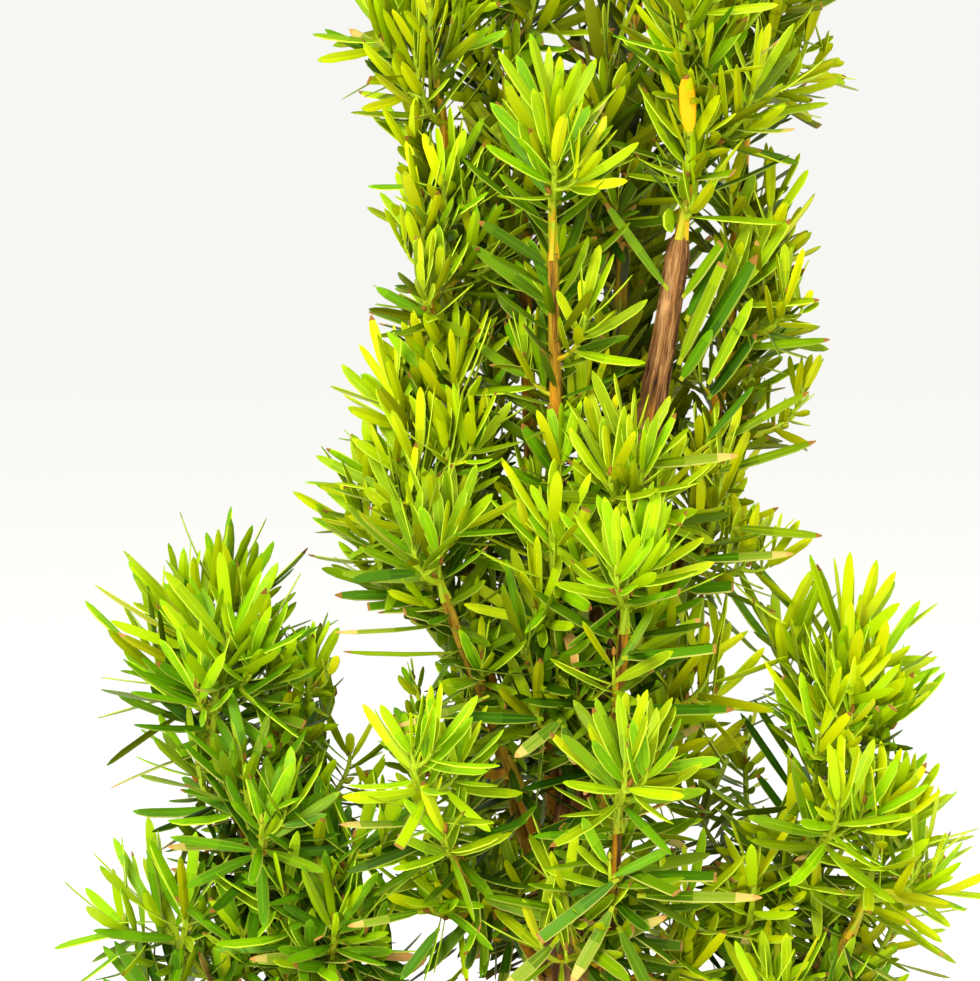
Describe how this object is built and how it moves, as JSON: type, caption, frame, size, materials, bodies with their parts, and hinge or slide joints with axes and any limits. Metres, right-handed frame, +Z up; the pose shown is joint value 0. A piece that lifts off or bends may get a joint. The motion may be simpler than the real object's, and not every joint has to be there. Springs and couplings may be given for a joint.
{
  "type": "potted yew shrub",
  "caption": "Young upright yew in a plain round terracotta pot: a thin trunk, upright leaders, low side boughs and dense sprays of flat bright green needles.",
  "frame": {"origin": "the middle of the pot's flat underside", "axes": "+Z straight up, the plant's tallest extent; -Y towards the front, the side that the camera faces; +X to the right seen from the front"},
  "size_m": [0.2258, 0.1795, 0.5306],
  "materials": {
    "terracotta": "matte",
    "potting_soil": "matte",
    "bark": "matte",
    "foliage": "satin"
  },
  "bodies": {
    "root": {"pot": "terracotta", "potting_soil": "potting_soil", "trunk": "bark", "leader_front": "bark", "leader_back_left": "bark", "leader_back": "bark", "leader_left": "bark", "leader_right": "bark", "bough_inner_left": "bark", "bough_front_middle": "bark", "bough_front_low": "bark", "bough_front_left": "bark", "bough_left": "bark", "bough_right": "bark", "bough_right_outer": "bark", "bough_back": "bark", "crown_of_trunk": "foliage", "spray_back": "foliage", "spray_back_inner": "foliage", "spray_back_left": "foliage", "spray_back_low": "foliage", "spray_foot_left": "foliage", "spray_foot_right": "foliage", "spray_front_foot": "foliage", "spray_front_lower": "foliage", "spray_front_upper": "foliage", "spray_inner_left": "foliage", "spray_left_back": "foliage", "spray_left_foot": "foliage", "spray_left_front": "foliage", "spray_left_high": "foliage", "spray_left_inside": "foliage", "spray_left_low": "foliage", "spray_left_middle": "foliage", "spray_left_outer": "foliage", "spray_left_right": "foliage", "spray_left_top": "foliage", "spray_right_back": "foliage", "spray_right_foot": "foliage", "spray_right_front": "foliage", "spray_right_high": "foliage", "spray_right_inside": "foliage", "spray_right_low": "foliage", "spray_right_middle": "foliage", "spray_right_top": "foliage", "spray_trunk_low": "foliage", "spray_trunk_middle": "foliage", "tip_back": "foliage", "tip_front_left": "foliage", "tip_front_low": "foliage", "tip_front_middle": "foliage", "tip_inner_left": "foliage", "tip_leader_back": "foliage", "tip_leader_back_left": "foliage", "tip_leader_front": "foliage", "tip_leader_left": "foliage", "tip_leader_right": "foliage", "tip_left": "foliage", "tip_right": "foliage", "tip_right_outer": "foliage"}
  },
  "joints": []
}
